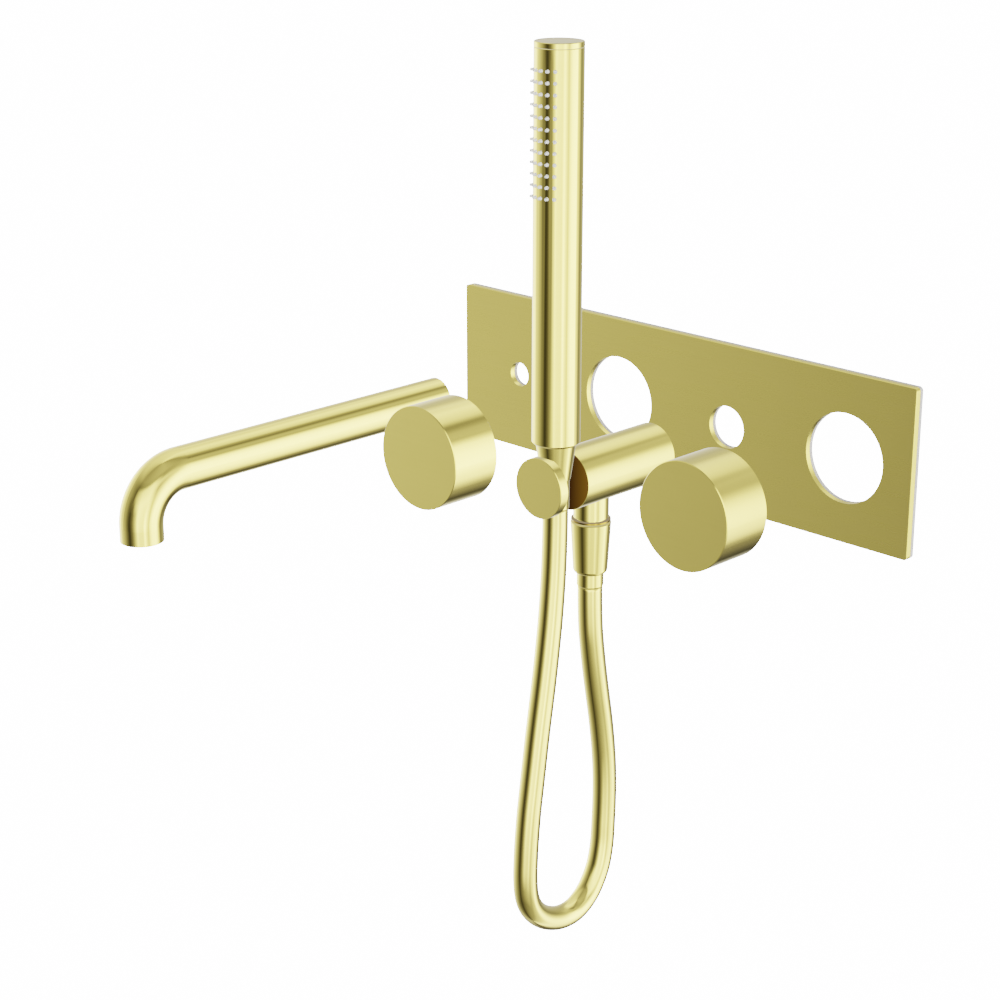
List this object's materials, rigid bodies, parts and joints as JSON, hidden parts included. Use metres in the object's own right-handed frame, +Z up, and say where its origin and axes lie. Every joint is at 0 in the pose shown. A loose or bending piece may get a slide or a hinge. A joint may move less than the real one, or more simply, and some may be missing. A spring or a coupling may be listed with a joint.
{
  "type": "wall mounted bath tap set",
  "caption": "Bath tap trim laid out in front of its wall plate: long round spout, plain round knobs and a slim hand shower on a hose in its holder.",
  "frame": {"origin": "middle of the backing board's rear face, on the finished wall", "axes": "+X right along the plate, +Y into the wall, +Z up"},
  "size_m": [0.35, 0.3183, 0.5155],
  "materials": {
    "brushed_gold": "fine straight brushing under a satin gold coating",
    "satin_gold": "satin gold coating, smoother than the brushed pieces",
    "raw_brass": "turned brass, not coated",
    "hose_gold": "smooth gold sleeve",
    "backing_grey": "pale grey board",
    "black_tape": "matt adhesive foam",
    "black_rubber": "matt",
    "clear_silicone": "translucent, soft",
    "white_plastic": "moulded",
    "black_plastic": "moulded",
    "blue_plastic": "moulded",
    "green_plastic": "moulded",
    "steel": "turned stainless steel"
  },
  "bodies": {
    "wall": {"wall_plate": "brushed_gold", "plate_tape": "black_tape", "plate_backing": "backing_grey"},
    "spout": {"spout_tube": "brushed_gold", "spout_adaptor": "raw_brass", "spout_o_rings": "black_rubber", "spout_set_screw": "steel", "aerator_housing": "white_plastic", "aerator_insert": "white_plastic", "aerator_washer": "black_rubber"},
    "left_ring": {"left_stop_ring": "black_plastic"},
    "left_knob": {"left_knob_shell": "brushed_gold", "left_knob_hub": "white_plastic", "left_knob_screw": "steel"},
    "right_ring": {"right_stop_ring": "black_plastic"},
    "right_knob": {"right_knob_shell": "brushed_gold", "right_knob_hub": "white_plastic", "right_knob_screw": "steel"},
    "holder": {"holder_body": "brushed_gold", "holder_adaptor": "raw_brass", "holder_o_rings": "black_rubber", "holder_set_screw": "steel", "outlet_stub": "satin_gold", "check_valve": "blue_plastic", "check_valve_poppet": "white_plastic", "outlet_dress_ring": "satin_gold", "outlet_washer": "black_rubber", "outlet_ferrule": "satin_gold", "hose": "hose_gold"},
    "outlet_nut": {"outlet_cone_nut": "satin_gold"},
    "hose_end": {"handset_ferrule": "satin_gold"},
    "handset": {"handset_cone_nut": "satin_gold", "handset_washer": "black_rubber", "flow_limiter": "green_plastic", "handset_inlet": "raw_brass", "handset_tube": "satin_gold", "water_channel": "white_plastic", "nozzle_strip": "clear_silicone", "cap_seal": "black_rubber", "handset_cap": "satin_gold"}
  },
  "joints": [
    {"name": "spout_fit", "type": "slide", "parent": "wall", "child": "spout", "axis": [0, 1, 0], "range_m": [0, 0.0729]},
    {"name": "left_knob_fit", "type": "slide", "parent": "wall", "child": "left_ring", "axis": [0, 1, 0], "range_m": [0, 0.1359]},
    {"name": "left_knob_turn", "type": "hinge", "parent": "left_ring", "child": "left_knob", "pos_m": [-0.04125, -0.175, 0], "axis": [0, -1, 0], "range_deg": [0, 90]},
    {"name": "right_knob_fit", "type": "slide", "parent": "wall", "child": "right_ring", "axis": [0, 1, 0], "range_m": [0, 0.1073]},
    {"name": "right_knob_turn", "type": "hinge", "parent": "right_ring", "child": "right_knob", "pos_m": [0.12895, -0.1464, 0], "axis": [0, -1, 0], "range_deg": [0, 120]},
    {"name": "holder_fit", "type": "slide", "parent": "wall", "child": "holder", "axis": [0, 1, 0], "range_m": [0, 0.0663]},
    {"name": "outlet_nut_turn", "type": "hinge", "parent": "holder", "child": "outlet_nut", "pos_m": [0.04385, -0.1235, -0.044], "axis": [0, 0, 1], "continuous": true},
    {"name": "handset_lift", "type": "slide", "parent": "holder", "child": "hose_end", "axis": [0, 0, 1], "range_m": [0, 0.06]},
    {"name": "handset_twist", "type": "hinge", "parent": "hose_end", "child": "handset", "pos_m": [0.04385, -0.1526, 0.01], "axis": [0, 0, 1], "continuous": true}
  ]
}
